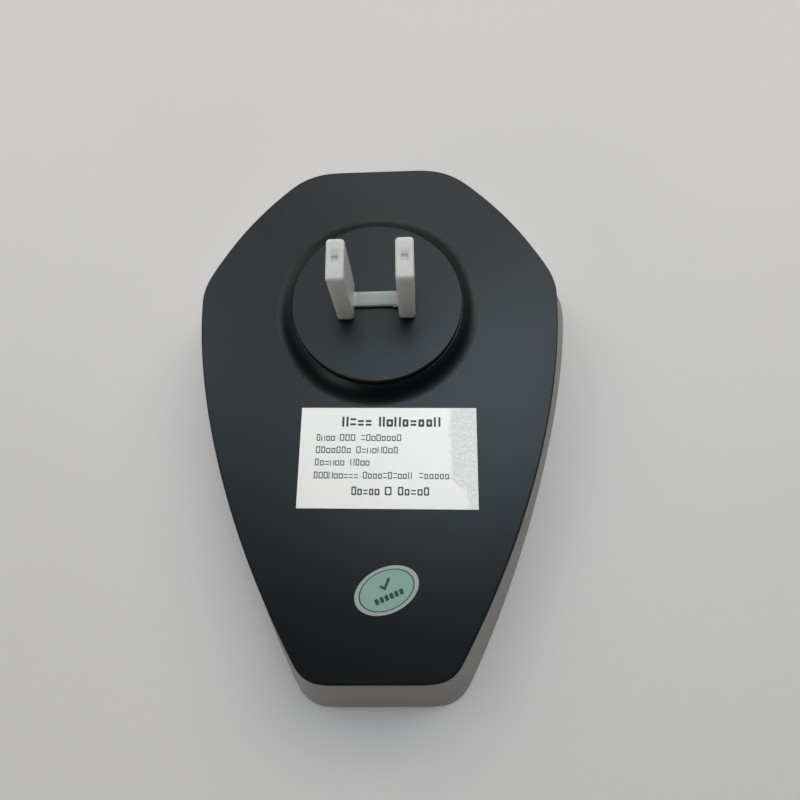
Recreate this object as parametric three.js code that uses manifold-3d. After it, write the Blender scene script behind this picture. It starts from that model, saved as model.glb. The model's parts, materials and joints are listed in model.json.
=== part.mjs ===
import * as THREE from "three";
import { mergeVertices } from "three/addons/utils/BufferGeometryUtils.js";
import Module from "manifold-3d";

// A plug-in ultrasonic pest repeller, lying on its front face. Everything is in millimetres.
// +Z runs out of the back of the housing along the plug blades, +Y towards the wide end.
// The origin is under the middle of the housing, on the surface that it lies on.

// Housing
const halfWidth = 38.3; // rear plate, at the hips
const halfLength = 54.28; // rear plate, middle to either end
const depth = 18; // front face to rear plate
const wall = 2;
const floorZ = 2.4; // inside face of the front
const seamZ = 15.9; // top of the front shell's wall
const plateUnder = 16.2; // inside face of the rear plate
const rimZ = 1; // where the flaring wall is widest
const rimWider = 5.2; // how far the rim stands out past the rear plate at the hips
const rimLonger = 6.4; // and at the two ends
const rimWaist = { less: 1.25, low: -50, high: 21.5 }; // the long sides stand out less, between two ends
const clearance = 0.3; // between pieces that fit together

// Plug
const plugY = 19.68;
const bladePitch = 12.7;
const bladeThick = 1.5;
const bladeWide = 6.35;
const discRadius = 17.84;
const discFace = 3.5; // above the rear plate
const discThick = 1.2;
const flareRadius = 22; // where the boss meets the rear plate
const collarRadius = 15.5;
const outletRing = 10; // the disc's face bears on an outlet outside this radius
const sleeve = { thick: 3.42, wide: 8.5, long: 17.2, round: 0.6, roof: 0.9 };

// Labels
const label = { width: 35.4, height: 20.3, x: 2, y: -12.88, turn: -1.3 };
const sticker = { halfLong: 6.3, halfShort: 4.1, x: 1.68, y: -38, turn: 22 };
const paper = 0.12;

// Inside
const boardZ = 5.6;
const boardThick = 1.6;
const boardPosts = [[23, -9], [-23, -9], [13.5, -41], [-13.5, -41]];
const speakerY = 20;
const speakerRadius = 20;
const speakerBoss = { count: 3, reach: 22.6, radius: 2.3, top: 4.7 };
const ledY = -30;

// Right half of the rear plate's outline from the narrow end up, as two handles and an end a curve.
const outlineStart = [7.4, -halfLength];
const outlineCurves = [
  [[11.4, -halfLength], [13.6, -53.8], [15.4, -50.85]], // narrow corner
  [[34.5, -18.65], [halfWidth, 9.7], [halfWidth, 22.5]], // long side
  [[halfWidth, 25.2], [37.3, 27.7], [35.8, 30.3]], // hip
  [[32.8, 35.6], [28.6, 42.5], [20.1, 50.2]], // shoulder
  [[15.6, halfLength], [11, halfLength], [8, halfLength]], // wide corner
];

const wasm = await Module();
wasm.setup();

// Joining and cutting

function toSolid(geometry) {
  const bare = geometry.index ? geometry.toNonIndexed() : geometry.clone();
  bare.deleteAttribute("normal");
  bare.deleteAttribute("uv");
  const merged = mergeVertices(bare, 1e-4);
  const vertProperties = new Float32Array(merged.getAttribute("position").array);
  const triVerts = new Uint32Array(merged.index.array);
  return new wasm.Manifold(new wasm.Mesh({ numProp: 3, vertProperties, triVerts }));
}

function toGeometry(solid) {
  const mesh = solid.getMesh();
  const geometry = new THREE.BufferGeometry();
  geometry.setAttribute("position", new THREE.BufferAttribute(mesh.vertProperties, 3));
  geometry.setIndex(new THREE.BufferAttribute(mesh.triVerts, 1));
  return geometry;
}

function join(...pieces) {
  return toGeometry(pieces.map(toSolid).reduce((whole, piece) => whole.add(piece)));
}

function cut(piece, ...tools) {
  return toGeometry(tools.map(toSolid).reduce((left, tool) => left.subtract(tool), toSolid(piece)));
}

// Plain shapes, each standing between two heights

function block(width, length, low, high, x = 0, y = 0) {
  return new THREE.BoxGeometry(width, length, high - low).translate(x, y, (low + high) / 2);
}

function post(radius, low, high, x = 0, y = 0, sides = 16) {
  const upright = new THREE.CylinderGeometry(radius, radius, high - low, sides).rotateX(Math.PI / 2);
  return upright.translate(x, y, (low + high) / 2);
}

function slab(shape, low, high, curveSegments = 6) {
  const settings = { depth: high - low, bevelEnabled: false, curveSegments };
  return new THREE.ExtrudeGeometry(shape, settings).translate(0, 0, low);
}

// Turns [radius, height] points about the Z axis.
function turned(profile, segments = 32) {
  const points = profile.map(([radius, height]) => new THREE.Vector2(radius, height));
  return new THREE.LatheGeometry(points, segments).rotateX(Math.PI / 2);
}

function roundedRectangle(width, length, radius) {
  const [x, y] = [width / 2, length / 2];
  const corners = [[x, -y], [x, y], [-x, y], [-x, -y]];
  const shape = new THREE.Shape();
  corners.forEach(([cx, cy], i) => {
    const start = (i - 1) * (Math.PI / 2);
    const [ax, ay] = [cx - Math.sign(cx) * radius, cy - Math.sign(cy) * radius];
    shape.absarc(ax, ay, radius, start, start + Math.PI / 2, false);
  });
  return shape;
}

function roundedBlock(width, length, low, high, radius, x = 0, y = 0) {
  const shape = roundedRectangle(width, length, radius * 1.5);
  const geometry = new THREE.ExtrudeGeometry(shape, {
    depth: high - low - 2 * radius,
    bevelThickness: radius,
    bevelSize: radius,
    bevelOffset: -radius,
    bevelSegments: 2,
    curveSegments: 1,
  });
  return geometry.translate(x, y, low + radius);
}

function onCircle(count, radius, first = 0) {
  return Array.from({ length: count }, (_, i) => {
    const angle = first + (i / count) * 2 * Math.PI;
    return [radius * Math.cos(angle), radius * Math.sin(angle)];
  });
}

// The housing's outline

function outlineShape(wider = 0, longer = 0) {
  const [sx, sy] = [1 + wider / halfWidth, 1 + longer / halfLength];
  const right = ([x, y]) => [x * sx, y * sy];
  const left = ([x, y]) => [-x * sx, y * sy];
  const stops = [outlineStart, ...outlineCurves.map((curve) => curve[2])];
  const shape = new THREE.Shape();
  shape.moveTo(...left(outlineStart));
  shape.lineTo(...right(outlineStart));
  for (const [a, b, end] of outlineCurves) {
    shape.bezierCurveTo(...right(a), ...right(b), ...right(end));
  }
  shape.lineTo(...left(stops.at(-1)));
  for (let i = outlineCurves.length - 1; i >= 0; i--) {
    const [a, b] = outlineCurves[i];
    shape.bezierCurveTo(...left(b), ...left(a), ...left(stops[i]));
  }
  return shape;
}

// How much less than the hips a point on a long side stands out, at the rim.
function waistAt(y) {
  const along = (y - rimWaist.low) / (rimWaist.high - rimWaist.low);
  return along > 0 && along < 1 ? rimWaist.less * Math.sin(Math.PI * along) : 0;
}

// A solid whose section is the outline, made wider and longer by each level's amounts.
function loft(levels) {
  const steps = levels.length - 1;
  const settings = { depth: steps, steps, bevelEnabled: false, curveSegments: 6 };
  const geometry = new THREE.ExtrudeGeometry(outlineShape(), settings);
  const position = geometry.getAttribute("position");
  for (let i = 0; i < position.count; i++) {
    const [z, wider, longer, flare] = levels[Math.round(position.getZ(i))];
    const [x, y] = [position.getX(i), position.getY(i)];
    const waist = Math.sign(x) * flare * waistAt(y);
    position.setXYZ(i, x * (1 + wider / halfWidth) - waist, y * (1 + longer / halfLength), z);
  }
  return geometry;
}

// The flaring wall's outside at a height, taken in by an inset.
function wallLevel(z, inset = 0) {
  const flare = (seamZ - z) / (seamZ - rimZ);
  return [z, rimWider * flare - inset, rimLonger * flare - inset, flare];
}

function evenLevel(z, inset = 0) {
  return [z, -inset, -inset, 0];
}

// Housing pieces

function capsule(halfLong, halfWide) {
  const shape = new THREE.Shape();
  shape.absarc(halfLong - halfWide, 0, halfWide, -Math.PI / 2, Math.PI / 2, false);
  shape.absarc(halfWide - halfLong, 0, halfWide, Math.PI / 2, 1.5 * Math.PI, false);
  return shape;
}

// Sound slots, each as long as a round speaker lets it be.
function grilleSlots() {
  const reach = 15.5;
  const pitch = 4.3;
  const halfWide = 1;
  const slots = [];
  for (let row = -3; row <= 3; row++) {
    const halfLong = Math.sqrt(reach ** 2 - (row * pitch) ** 2);
    slots.push(slab(capsule(halfLong, halfWide), -1, floorZ + 1, 2).translate(0, speakerY + row * pitch, 0));
  }
  return slots;
}

function frontShell() {
  const edge = 1;
  const rimRound = [0, 45, 90].map((degrees) => {
    const a = THREE.MathUtils.degToRad(degrees);
    return wallLevel(edge * (1 - Math.cos(a)), edge * (1 - Math.sin(a)));
  });
  const outside = loft([...rimRound, wallLevel(seamZ)]);
  const inside = loft([wallLevel(floorZ, wall + 1), wallLevel(floorZ + 1, wall), wallLevel(seamZ + 1, wall)]);
  const frontRecess = loft([wallLevel(-1, 9), wallLevel(0.6, 9)]);
  const windowHole = post(3.2, -1, floorZ + 1, 0, ledY);
  const shell = cut(outside, inside, frontRecess, windowHole, ...grilleSlots());

  const rib = turned([[speakerRadius + 1.4, floorZ - 0.4], [speakerRadius + 1.4, 3.8],
    [speakerRadius + 0.4, 3.8], [speakerRadius + 0.4, floorZ - 0.4], [speakerRadius + 1.4, floorZ - 0.4]]);
  const adds = [rib.translate(0, speakerY, 0)];
  const holes = [];
  for (const [x, y] of onCircle(speakerBoss.count, speakerBoss.reach, Math.PI / 2)) {
    adds.push(post(speakerBoss.radius, floorZ - 0.4, speakerBoss.top, x, y + speakerY));
    holes.push(post(1.3, floorZ, 9, x, y + speakerY, 12));
  }
  for (const [x, y] of boardPosts) {
    adds.push(post(2.7, floorZ - 0.4, boardZ - 0.2, x, y));
    holes.push(post(1.3, floorZ, 9, x, y, 12));
  }
  return cut(join(shell, ...adds), ...holes);
}

// The concave boss that lifts the plug off the plate: an arc from a shallow angle at its foot.
function bossProfile() {
  const [footAngle, topAngle] = [5, 57].map(THREE.MathUtils.degToRad);
  const top = discRadius - 0.25;
  const radius = (flareRadius - top) / (Math.sin(topAngle) - Math.sin(footAngle));
  const steps = 6;
  return Array.from({ length: steps + 1 }, (_, i) => {
    const angle = footAngle + ((topAngle - footAngle) * i) / steps;
    const r = flareRadius - radius * (Math.sin(angle) - Math.sin(footAngle));
    const z = radius * (Math.cos(footAngle) - Math.cos(angle));
    return [r, depth + z];
  });
}

function rearCover() {
  const plate = loft([
    evenLevel(plateUnder, 0.15),
    evenLevel(plateUnder + 0.2),
    evenLevel(depth - 0.4),
    evenLevel(depth - 0.12, 0.12),
    evenLevel(depth, 0.4),
  ]);
  const bore = collarRadius + clearance;
  const flare = bossProfile();
  const bossTop = depth + discFace - discThick - clearance;
  const steps = flare.filter(([, z]) => z < bossTop);
  const crown = steps.at(-1)[0];
  const boss = turned([[bore, plateUnder], [flareRadius, plateUnder], ...steps,
    [crown, bossTop], [bore, bossTop], [bore, plateUnder]], 40).translate(0, plugY, 0);
  const opening = post(bore + 0.5, plateUnder - 1, depth + 1, 0, plugY, 40);
  const skirtInset = 2.3;
  const skirtFoot = 12.8;
  const skirt = cut(
    loft([evenLevel(skirtFoot, skirtInset), evenLevel(plateUnder + 0.4, skirtInset)]),
    loft([evenLevel(skirtFoot - 1, skirtInset + 1.2), evenLevel(plateUnder + 1, skirtInset + 1.2)]),
  );
  return join(cut(plate, opening), boss, skirt, ...snapHooks(skirtInset, skirtFoot));
}

// Catches that spring out under the front shell's wall.
function snapHooks(inset, foot) {
  const path = outlineShape(-inset, -inset);
  const hooksRound = 8;
  return Array.from({ length: hooksRound }, (_, i) => {
    const along = (i + 0.5) / hooksRound;
    const point = path.getPointAt(along);
    const tangent = path.getTangentAt(along);
    const hook = block(4, 1.4, foot, foot + 1.2, 0, 0.2);
    hook.rotateZ(Math.atan2(tangent.y, tangent.x));
    return hook.translate(point.x, point.y, 0);
  });
}

function lightWindow() {
  return turned([[0, 0.3], [2.7, 0.3], [2.9, 0.5], [2.9, floorZ + 0.05], [4.2, floorZ + 0.05],
    [4.2, floorZ + 0.4], [0, floorZ + 0.4]], 24);
}

// Plug pieces, from the plug's axis at the rear plate's outside

function bladeSlots(low, high, wide) {
  return [-1, 1].map((side) => block(bladeThick + 2 * clearance, wide, low, high, side * (bladePitch / 2)));
}

const clampScrews = [[0, 9], [0, -9]];
const clampTop = -2.3;
const clampUnder = -4.1;

function plugInsert() {
  const foot = -5.1;
  const under = discFace - 3;
  const body = turned([[0, foot], [collarRadius, foot], [collarRadius, discFace - discThick],
    [discRadius, discFace - discThick], [discRadius, discFace - 0.3], [discRadius - 0.09, discFace - 0.09],
    [discRadius - 0.3, discFace], [outletRing, discFace], [0, discFace]], 40);
  const hollow = post(collarRadius - 1.7, foot - 1, under, 0, 0, 32);
  const bosses = clampScrews.map(([x, y]) => post(2.8, clampTop + clearance, under + 0.2, x, y));
  const screwHoles = clampScrews.map(([x, y]) => post(1.4, foot, under + 0.5, x, y, 12));
  const lugTop = plateUnder - depth - clearance;
  const lugs = onCircle(4, collarRadius + 0.1, Math.PI / 4).map(([x, y]) => {
    const lug = block(1.6, 4.4, lugTop - 1.4, lugTop);
    return lug.rotateZ(Math.atan2(y, x)).translate(x, y, 0);
  });
  const shell = join(cut(body, hollow), ...bosses, ...lugs);
  return cut(shell, ...screwHoles, ...bladeSlots(foot, discFace + 1, bladeWide + 2 * clearance));
}

// A flat blade with locking shoulders, a round hole near its tip and a narrow tail.
function blade() {
  const half = bladeWide / 2;
  const tip = discFace + 15.9;
  const nose = 1.3;
  const tail = { half: 2, end: -6.7 };
  const shoulder = { half: 4.4, low: clampTop + clearance, high: discFace - 3 - clearance };
  const side = [[tail.half, tail.end], [tail.half, shoulder.low], [shoulder.half, shoulder.low],
    [shoulder.half, shoulder.high], [half, shoulder.high], [half, tip - nose], [half - nose, tip]];
  const shape = new THREE.Shape();
  shape.moveTo(...side[0]);
  side.slice(1).forEach((point) => shape.lineTo(...point));
  [...side].reverse().forEach(([x, y]) => shape.lineTo(-x, y));
  const eye = new THREE.Path();
  eye.absarc(0, discFace + 11.7, 1.6, 0, 2 * Math.PI, true);
  shape.holes.push(eye);
  const flat = slab(shape, -bladeThick / 2, bladeThick / 2, 8);
  return flat.rotateX(Math.PI / 2).rotateZ(Math.PI / 2);
}

function bladeClamp() {
  const bar = join(
    slab(roundedRectangle(19, 12, 2), clampUnder, clampTop, 2),
    slab(roundedRectangle(8, 24, 3.5), clampUnder, clampTop, 2),
  );
  const holes = clampScrews.map(([x, y]) => post(1.4, clampUnder - 1, clampTop + 1, x, y, 12));
  return cut(bar, ...holes, ...bladeSlots(clampUnder - 1, clampTop + 1, 4 + 2 * clearance));
}

// A pan-head screw pointing up, with its head's flat side at height 0 and a cross recess.
function screw(headRadius, headHigh, length) {
  const body = turned([[0, -headHigh], [headRadius * 0.7, -headHigh], [headRadius, -headHigh * 0.45],
    [headRadius, 0], [1, 0], [1, length - 0.8], [0, length]], 12);
  const arms = [block(headRadius * 1.1, 0.5, -headHigh - 1, -headHigh + 0.7),
    block(0.5, headRadius * 1.1, -headHigh - 1, -headHigh + 0.7)];
  return cut(body, ...arms);
}

// Two closed sleeves over the blades, joined by a thin bridge across the plug's face.
function prongCover() {
  const foot = discFace + 0.1;
  const top = foot + sleeve.long;
  const inside = top - sleeve.roof;
  const parts = [-1, 1].map((side) => {
    const x = side * (bladePitch / 2);
    return roundedBlock(sleeve.thick, sleeve.wide, foot, top, sleeve.round, x);
  });
  const bridge = block(bladePitch - 1, 3.2, foot + 0.1, foot + 1);
  const dimples = [-1, 1].map((side) => block(1.3, 1.3, top - 0.45, top + 1, side * (bladePitch / 2)));
  return cut(join(...parts, bridge), ...bladeSlots(foot - 1, inside, bladeWide + 2 * clearance), ...dimples);
}

// Labels

function ratingLabel() {
  return slab(roundedRectangle(label.width, label.height, 0.4), 0, paper, 1);
}

function inspectionSticker() {
  const shape = new THREE.Shape();
  shape.absellipse(0, 0, sticker.halfLong, sticker.halfShort, 0, 2 * Math.PI, false, 0);
  return slab(shape, 0, paper, 18);
}

// Speaker pieces, from its axis on the inside of the front

function speakerFrame() {
  const back = 8;
  return turned([[17, 0.5], [speakerRadius, 0.5], [speakerRadius, 2.2], [17.6, 2.2], [13.4, 6.4],
    [13.4, back], [0, back], [0, back - 1], [12.2, back - 1], [12.2, 6.1], [17, 1.3], [17, 0.5]]);
}

function speakerCone() {
  return turned([[4, 4.6], [16.2, 0.7], [16.6, 0.7], [16.6, 1.05], [4.2, 5.1], [0, 5.1], [0, 4.6], [4, 4.6]]);
}

function speakerGasket() {
  return turned([[16.6, 0.05], [speakerRadius, 0.05], [speakerRadius, 0.45], [16.6, 0.45], [16.6, 0.05]]);
}

// Circuit board and what stands on it, from its rear side

function circuitBoard() {
  const shape = new THREE.Shape();
  const corners = [[-15, -45], [15, -45], [27, -5], [-27, -5]];
  shape.moveTo(...corners[0]);
  corners.slice(1).forEach((corner) => shape.lineTo(...corner));
  const holes = boardPosts.map(([x, y]) => post(1.5, -boardThick - 1, 1, x, y, 12));
  return cut(slab(shape, -boardThick, 0), ...holes);
}

// A part with a lead out of each end, lying along X.
function axialPart(radius, length, leads) {
  const [half, end] = [length / 2, length / 2 + leads];
  const body = turned([[0, -end], [0.3, -end], [0.3, -half], [radius * 0.8, -half], [radius, -half + 0.5],
    [radius, half - 0.5], [radius * 0.8, half], [0.3, half], [0.3, end], [0, end]], 10);
  return body.rotateY(Math.PI / 2);
}

// An aluminium can lying along X, with a groove round its seal end.
function capacitorCan(radius, length) {
  const half = length / 2;
  const can = turned([[0, -half], [radius - 0.5, -half], [radius, -half + 0.5], [radius, -half + 1.4],
    [radius - 0.4, -half + 1.8], [radius, -half + 2.2], [radius, half - 0.5], [radius - 0.5, half],
    [0, half]], 16);
  return can.rotateY(Math.PI / 2);
}

// A chip body with a row of bent legs down each side and a notch at one end.
function chip(length, width, high, legsEachSide) {
  const body = roundedBlock(length, width, 0.6, high, 0.3);
  const notch = post(0.9, high - 0.4, high + 1, -length / 2, 0, 16);
  const pitch = 2.54;
  const legs = [];
  for (let i = 0; i < legsEachSide; i++) {
    const x = (i - (legsEachSide - 1) / 2) * pitch;
    for (const side of [-1, 1]) {
      legs.push(block(1.1, 1.4, high * 0.5, high * 0.5 + 0.3, x, side * (width / 2 + 0.3)));
      legs.push(block(0.7, 0.3, 0, high * 0.5 + 0.1, x, side * (width / 2 + 0.8)));
    }
  }
  return join(cut(body, notch), ...legs);
}

// A small half-round transistor standing on three legs.
function transistor() {
  const shape = new THREE.Shape();
  shape.absarc(0, 0, 2.4, -0.6, Math.PI + 0.6, false);
  const legs = [-1.27, 0, 1.27].map((x) => block(0.45, 0.45, 0, 2.4, x, 0.2));
  return join(slab(shape, 2.2, 6.8, 6), ...legs);
}

const windowHalf = 2.9;
const coreLeg = { wide: 3, high: 4.4 };

// A ferrite core with a window on each side of its middle leg.
function transformerCore() {
  const outer = 12;
  const across = 11;
  const window = (outer - 3 * coreLeg.wide) / 2 + 1;
  const x = coreLeg.wide / 2 + window / 2;
  const windows = [-1, 1].map((side) => block(window, 2 * windowHalf, -9, 9, side * x));
  return cut(block(outer, across, -coreLeg.high / 2, coreLeg.high / 2), ...windows);
}

// The winding round the middle leg.
function transformerCoil() {
  const shape = roundedRectangle(coreLeg.wide + 4.2, coreLeg.high + 3.4, 1);
  const bore = roundedRectangle(coreLeg.wide + 2 * clearance, coreLeg.high + 2 * clearance, 0.2);
  shape.holes.push(new THREE.Path(bore.getPoints(1).reverse()));
  const half = windowHalf - clearance;
  return slab(shape, -half, half, 2).rotateX(Math.PI / 2);
}

function indicatorLed() {
  return turned([[0, -boardThick - 2.7], [0.8, -boardThick - 2.5], [1.4, -boardThick - 2],
    [1.5, -boardThick - 1.4], [1.5, -boardThick - 0.8], [1.9, -boardThick - 0.8],
    [1.9, -boardThick - 0.1], [0, -boardThick - 0.1]], 12);
}

// A wire held inside the housing, along a smooth path.
function wire(points, radius) {
  const path = new THREE.CatmullRomCurve3(points.map((point) => new THREE.Vector3(...point)));
  const section = new THREE.Shape();
  section.absarc(0, 0, radius, 0, 2 * Math.PI, false);
  const settings = { steps: 12, extrudePath: path, curveSegments: 4, bevelEnabled: false };
  return new THREE.ExtrudeGeometry(section, settings);
}

// Finishes

function finish(color, roughness, metalness = 0, opacity = 1) {
  const settings = { color, roughness, metalness, opacity, transparent: opacity < 1 };
  return new THREE.MeshStandardMaterial(settings);
}

const blackPlastic = finish(0x1b1d1f, 0.55);
const greyPlastic = finish(0x9a9b97, 0.5);
const softWhite = finish(0xe2e5df, 0.4);
const foilPaper = finish(0xefeee8, 0.35);
const mintPaper = finish(0x9fb8ac, 0.45);
const nickel = finish(0xbdbcb6, 0.25, 1);
const zincSteel = finish(0x9c9d9c, 0.35, 1);
const clearPlastic = finish(0xdfe8ee, 0.12, 0, 0.6);
const boardGreen = finish(0x1d5a35, 0.4);
const yellowCase = finish(0xd8b23a, 0.4);
const blueCoating = finish(0x2b5fa8, 0.45);
const greenCoating = finish(0x4d7d5a, 0.55);
const tanCoating = finish(0xcbb48a, 0.5);
const aluminium = finish(0xb9bcbf, 0.3, 1);
const ferrite = finish(0x3a3b3d, 0.7);
const copper = finish(0xb3713b, 0.35, 1);
const brass = finish(0xc2a25a, 0.35, 1);
const foam = finish(0x2a2a2a, 0.95);
const redRubber = finish(0xa32a25, 0.55);
const blackRubber = finish(0x202020, 0.55);
const brownRubber = finish(0x5d3a26, 0.55);
const blueRubber = finish(0x2b4f8c, 0.55);

// Assembly

function add(group, name, geometry, material, x = 0, y = 0, z = 0, turn = 0) {
  const mesh = new THREE.Mesh(geometry, material);
  mesh.name = name;
  mesh.position.set(x, y, z);
  mesh.rotation.z = THREE.MathUtils.degToRad(turn);
  geometry.computeVertexNormals();
  group.add(mesh);
  return mesh;
}

function housingGroup() {
  const group = new THREE.Group();
  add(group, "front_shell", frontShell(), greyPlastic);
  add(group, "rear_cover", rearCover(), blackPlastic);
  add(group, "light_window", lightWindow(), clearPlastic, 0, ledY, 0);
  const above = depth + 0.03;
  add(group, "rating_label", ratingLabel(), foilPaper, label.x, label.y, above, label.turn);
  add(group, "inspection_sticker", inspectionSticker(), mintPaper, sticker.x, sticker.y, above, sticker.turn);
  return group;
}

function plugGroup() {
  const group = new THREE.Group();
  group.position.set(0, plugY, depth);
  add(group, "plug_insert", plugInsert(), blackPlastic);
  add(group, "blade_left", blade(), nickel, -bladePitch / 2);
  add(group, "blade_right", blade(), nickel, bladePitch / 2);
  add(group, "blade_clamp", bladeClamp(), blackPlastic);
  clampScrews.forEach(([x, y], i) => {
    add(group, `clamp_screw_${i + 1}`, screw(2.2, 1.3, 4), zincSteel, x, y, clampUnder - 0.2);
  });
  add(group, "prong_cover", prongCover(), softWhite);
  return group;
}

function speakerGroup() {
  const group = new THREE.Group();
  group.position.set(0, speakerY, floorZ);
  add(group, "speaker_gasket", speakerGasket(), foam);
  add(group, "speaker_frame", speakerFrame(), blackPlastic);
  add(group, "speaker_cone", speakerCone(), aluminium);
  add(group, "piezo_disc", post(9, 5.5, 6, 0, 0, 24), brass);
  onCircle(speakerBoss.count, speakerBoss.reach, Math.PI / 2).forEach(([x, y], i) => {
    const fastener = screw(3, 1.4, 2);
    fastener.rotateX(Math.PI);
    add(group, `speaker_screw_${i + 1}`, fastener, zincSteel, x, y, speakerBoss.top - floorZ + clearance);
  });
  return group;
}

function boardGroup() {
  const group = new THREE.Group();
  group.position.set(0, 0, boardZ + boardThick);
  const on = 0.1;
  add(group, "circuit_board", circuitBoard(), boardGreen);
  boardPosts.forEach(([x, y], i) => {
    const fastener = screw(2.4, 1.4, 4);
    fastener.rotateX(Math.PI);
    add(group, `board_screw_${i + 1}`, fastener, zincSteel, x, y, clearance);
  });
  add(group, "film_capacitor", roundedBlock(15, 6.5, on, 8, 0.5), yellowCase, -10, -14);
  add(group, "bridge_rectifier", chip(8.4, 6.2, 3.4, 2), blackPlastic, 8, -14, on);
  add(group, "varistor", post(3.9, -1.5, 1.5, 0, 0, 20).rotateY(Math.PI / 2), blueCoating, 17.5, -15, 4.1);
  add(group, "fuse_resistor", axialPart(1.8, 8, 3), greenCoating, -13, -21, 2);
  add(group, "filter_capacitor", capacitorCan(4, 11), aluminium, 14, -24, 4.2);
  add(group, "output_capacitor", capacitorCan(2.5, 8), aluminium, 11, -32, 2.7);
  add(group, "transformer_core", transformerCore(), ferrite, -10, -31, 4.1);
  add(group, "transformer_coil", transformerCoil(), copper, -10, -31, 4.1);
  add(group, "controller_chip", chip(9.4, 6.2, 3.5, 4), blackPlastic, 5.4, -38.6, on);
  add(group, "driver_transistor_1", transistor(), blackPlastic, -8.2, -40.6, on);
  add(group, "driver_transistor_2", transistor(), blackPlastic, -2.8, -40.6, on);
  [[1, -21], [1, -24.5], [1, -28], [1, -31.5]].forEach(([x, y], i) => {
    add(group, `resistor_${i + 1}`, axialPart(0.9, 5, 1.2), tanCoating, x, y, 1.1);
  });
  add(group, "indicator_led", indicatorLed(), clearPlastic, 0, ledY);
  return group;
}

function wiringGroup() {
  const group = new THREE.Group();
  const padZ = boardZ + boardThick + 0.4;
  const tailZ = 11.8;
  const backZ = floorZ + 8.9;
  const mains = (side) => [[side * 6.35, 17.2, tailZ], [side * 6.8, 8, tailZ], [side * 8, -1, tailZ - 0.6],
    [side * 9, -5.6, 9.6], [side * 9, -7.2, padZ]];
  const signal = (side) => [[side * 2, 8, backZ], [side * 2, 1, backZ], [side * 2.4, -4.5, 9.6],
    [side * 2.4, -7.4, padZ]];
  add(group, "mains_lead_left", wire(mains(-1), 0.7), brownRubber);
  add(group, "mains_lead_right", wire(mains(1), 0.7), blueRubber);
  add(group, "speaker_lead_left", wire(signal(-1), 0.5), redRubber);
  add(group, "speaker_lead_right", wire(signal(1), 0.5), blackRubber);
  return group;
}

const repeller = new THREE.Group();
repeller.add(housingGroup(), plugGroup(), speakerGroup(), boardGroup(), wiringGroup());

export default repeller;
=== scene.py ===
import json
import math
import random

import bmesh
import bpy
from mathutils import Matrix, Vector, noise


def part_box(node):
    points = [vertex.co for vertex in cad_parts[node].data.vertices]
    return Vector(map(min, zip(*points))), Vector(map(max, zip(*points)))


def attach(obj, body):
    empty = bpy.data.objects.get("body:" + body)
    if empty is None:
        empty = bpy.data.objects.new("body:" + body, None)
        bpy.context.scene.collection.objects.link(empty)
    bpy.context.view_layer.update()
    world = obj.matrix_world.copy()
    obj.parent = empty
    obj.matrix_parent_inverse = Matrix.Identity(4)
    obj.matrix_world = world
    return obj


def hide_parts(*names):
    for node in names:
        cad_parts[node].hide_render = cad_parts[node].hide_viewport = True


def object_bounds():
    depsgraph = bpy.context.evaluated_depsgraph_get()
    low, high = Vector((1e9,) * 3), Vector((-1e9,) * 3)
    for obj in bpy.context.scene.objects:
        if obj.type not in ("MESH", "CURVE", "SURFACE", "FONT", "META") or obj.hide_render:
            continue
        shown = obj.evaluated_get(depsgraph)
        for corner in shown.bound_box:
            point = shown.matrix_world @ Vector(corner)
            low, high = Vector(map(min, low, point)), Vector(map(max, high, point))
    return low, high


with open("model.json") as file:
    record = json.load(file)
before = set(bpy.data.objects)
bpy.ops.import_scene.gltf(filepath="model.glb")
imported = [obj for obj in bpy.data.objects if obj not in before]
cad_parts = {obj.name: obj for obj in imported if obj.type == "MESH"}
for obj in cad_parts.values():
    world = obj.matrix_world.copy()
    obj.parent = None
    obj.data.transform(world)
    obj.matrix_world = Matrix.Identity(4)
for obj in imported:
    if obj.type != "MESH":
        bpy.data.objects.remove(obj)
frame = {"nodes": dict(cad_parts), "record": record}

# An ultrasonic pest repeller lying on its front face. Meshes are drawn in millimetres and scaled here.
mm = 0.001
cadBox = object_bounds()
mounts = {m["name"]: Vector(m["pos_m"]) / mm for m in frame["record"]["mounts"]}
plateZ = mounts["rear_face"].z
discZ = mounts["outlet_face"].z
print("stage: frame loaded")


def boxOf(node):
    low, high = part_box(node)
    return low / mm, high / mm


coverLow, coverHigh = boxOf("rear_cover")
shellHigh = boxOf("front_shell")[1]
insertLow, insertHigh = boxOf("plug_insert")
halfWidth, halfLength = coverHigh.x, coverHigh.y
plugY = (insertLow.y + insertHigh.y) / 2
bladeX = sum(corner.x for corner in boxOf("blade_right")) / 2


# Camera

shot = {
    "place": (8.57, -36.01, 133.8),
    "turn": (-0.293, -0.0348, 0.0106),  # about X, Y and Z, in radians
    "lens": 26.7,
    "sensor": 36.0,
}


def addCamera():
    data = bpy.data.cameras.new("camera")
    data.lens = shot["lens"]
    data.sensor_width = shot["sensor"]
    data.clip_start = 0.005
    x, y, z = shot["turn"]
    turn = Matrix.Rotation(z, 3, "Z") @ Matrix.Rotation(x, 3, "X") @ Matrix.Rotation(y, 3, "Y")
    camera = bpy.data.objects.new("camera", data)
    camera.matrix_world = Matrix.Translation(Vector(shot["place"]) * mm) @ turn.transposed().to_4x4()
    bpy.context.scene.collection.objects.link(camera)
    bpy.context.scene.camera = camera


addCamera()
print("stage: camera")


# Shader groups


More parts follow.
